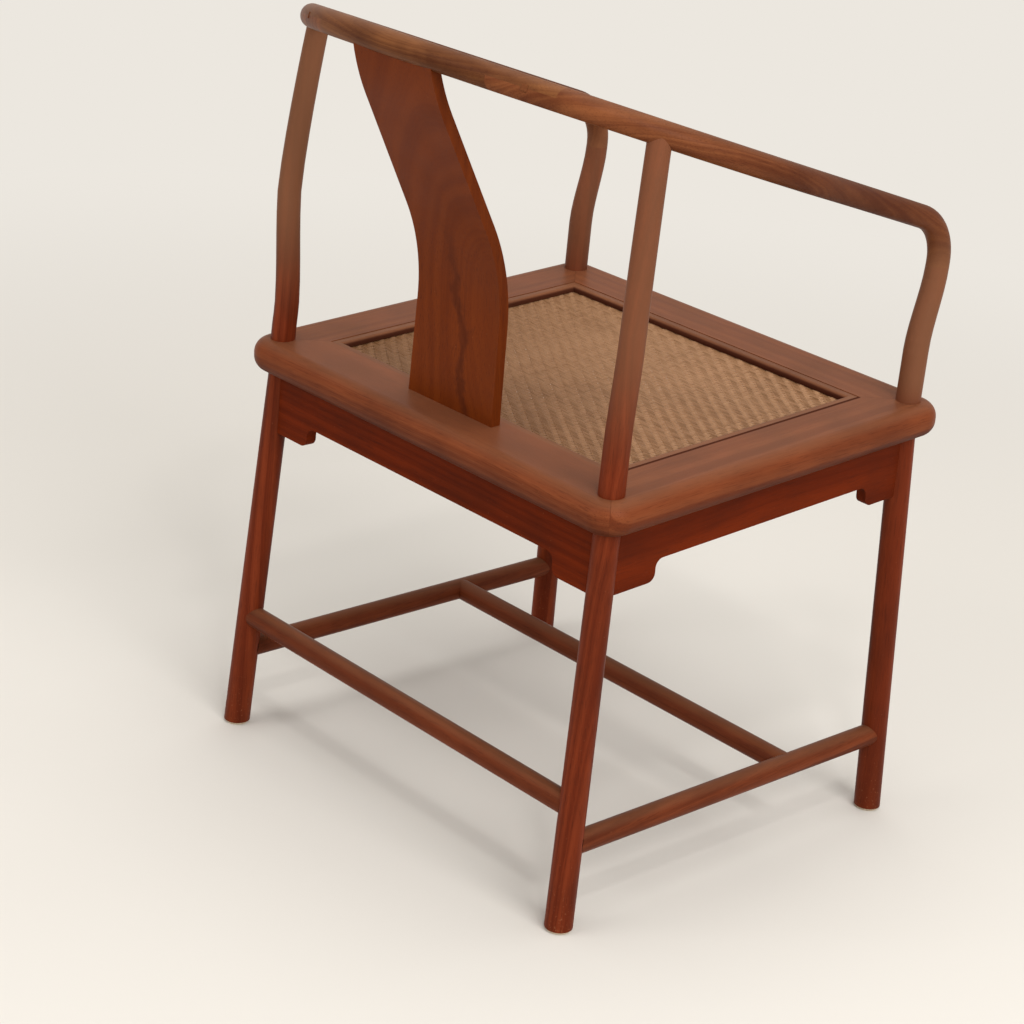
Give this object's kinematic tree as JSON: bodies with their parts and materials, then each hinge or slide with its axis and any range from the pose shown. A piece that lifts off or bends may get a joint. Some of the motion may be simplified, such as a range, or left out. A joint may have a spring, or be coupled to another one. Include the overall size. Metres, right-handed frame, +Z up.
{
  "type": "horseshoe armchair",
  "caption": "Round-limbed hardwood armchair with a sloping horseshoe rail, bent back splat, mitred cane seat, stepped aprons and round stretchers.",
  "frame": {"origin": "on the floor, under the middle of the overall box", "axes": "+Z up, the sitter faces -Y, the sitter's left is +X"},
  "size_m": [0.5854, 0.5452, 0.8157],
  "materials": {
    "rosewood": "satin varnish",
    "dark_wood": "satin varnish",
    "cane": "woven cane",
    "felt": "matt felt"
  },
  "bodies": {
    "root": {"seat_rail_front": "rosewood", "seat_rail_back": "rosewood", "seat_rail_left": "rosewood", "seat_rail_right": "rosewood", "cane_strip_front": "rosewood", "cane_strip_back": "rosewood", "cane_strip_left": "rosewood", "cane_strip_right": "rosewood", "seat_brace_left": "rosewood", "seat_brace_right": "rosewood", "leg_front_left": "rosewood", "leg_front_right": "rosewood", "leg_back_left": "rosewood", "leg_back_right": "rosewood", "apron_front": "rosewood", "apron_back": "rosewood", "apron_left": "rosewood", "apron_right": "rosewood", "stretcher_back": "rosewood", "stretcher_left": "rosewood", "stretcher_right": "rosewood", "stretcher_cross": "rosewood", "back_splat": "rosewood", "rail_crest": "rosewood", "rail_arm_left": "rosewood", "rail_arm_right": "rosewood", "rail_wedge_pins": "dark_wood", "cane_seat": "cane", "foot_pad_front_left": "felt", "foot_pad_front_right": "felt", "foot_pad_back_left": "felt", "foot_pad_back_right": "felt"}
  },
  "joints": []
}
